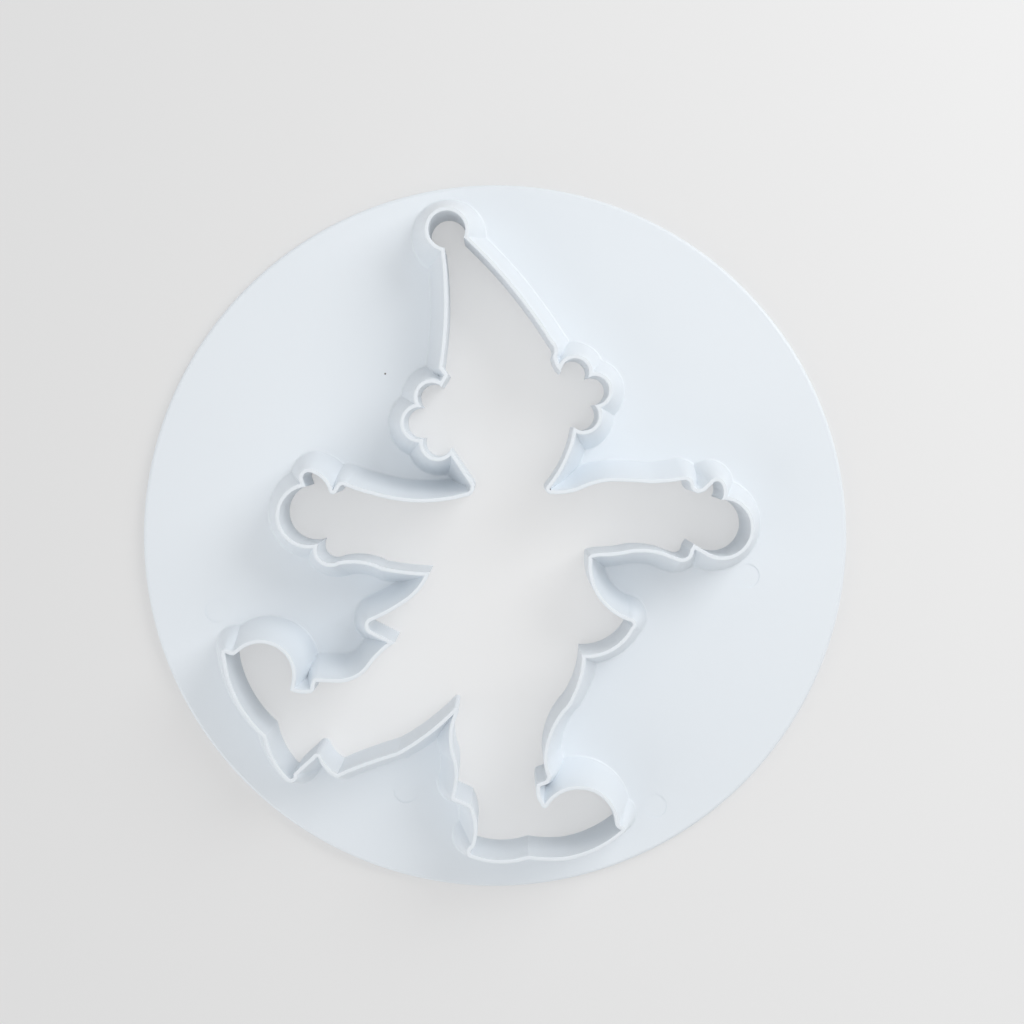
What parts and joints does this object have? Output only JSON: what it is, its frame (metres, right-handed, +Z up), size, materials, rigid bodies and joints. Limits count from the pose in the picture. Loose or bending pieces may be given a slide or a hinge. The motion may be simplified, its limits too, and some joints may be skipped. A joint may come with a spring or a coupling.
{
  "type": "figure cutter",
  "caption": "Flat round plate with a clown-shaped opening and a thin blade standing up all round it, for cutting rolled dough or sugar paste.",
  "frame": {"origin": "centre of the plate, on its underside", "axes": "+Z up through the plate to the cutting edge, +Y towards the figure's hat, +X to its right in the picture"},
  "size_m": [0.1156, 0.1156, 0.012],
  "materials": {
    "white_plastic": "white moulded plastic, satin to gloss"
  },
  "bodies": {
    "root": {"base_plate": "white_plastic", "blade_pompom": "white_plastic", "blade_hat_right": "white_plastic", "blade_curls_right": "white_plastic", "blade_collar_right": "white_plastic", "blade_sleeve_top_right": "white_plastic", "blade_thumb_right": "white_plastic", "blade_mitt_right": "white_plastic", "blade_sleeve_under_right": "white_plastic", "blade_coat_right": "white_plastic", "blade_leg_right": "white_plastic", "blade_shoe_top_right": "white_plastic", "blade_sole_right": "white_plastic", "blade_leg_inner_right": "white_plastic", "blade_leg_inner_left": "white_plastic", "blade_sole_left": "white_plastic", "blade_shoe_top_left": "white_plastic", "blade_leg_left": "white_plastic", "blade_coat_left": "white_plastic", "blade_sleeve_under_left": "white_plastic", "blade_mitt_left": "white_plastic", "blade_thumb_left": "white_plastic", "blade_sleeve_top_left": "white_plastic", "blade_collar_left": "white_plastic", "blade_curls_left": "white_plastic", "blade_hat_left": "white_plastic"}
  },
  "joints": []
}
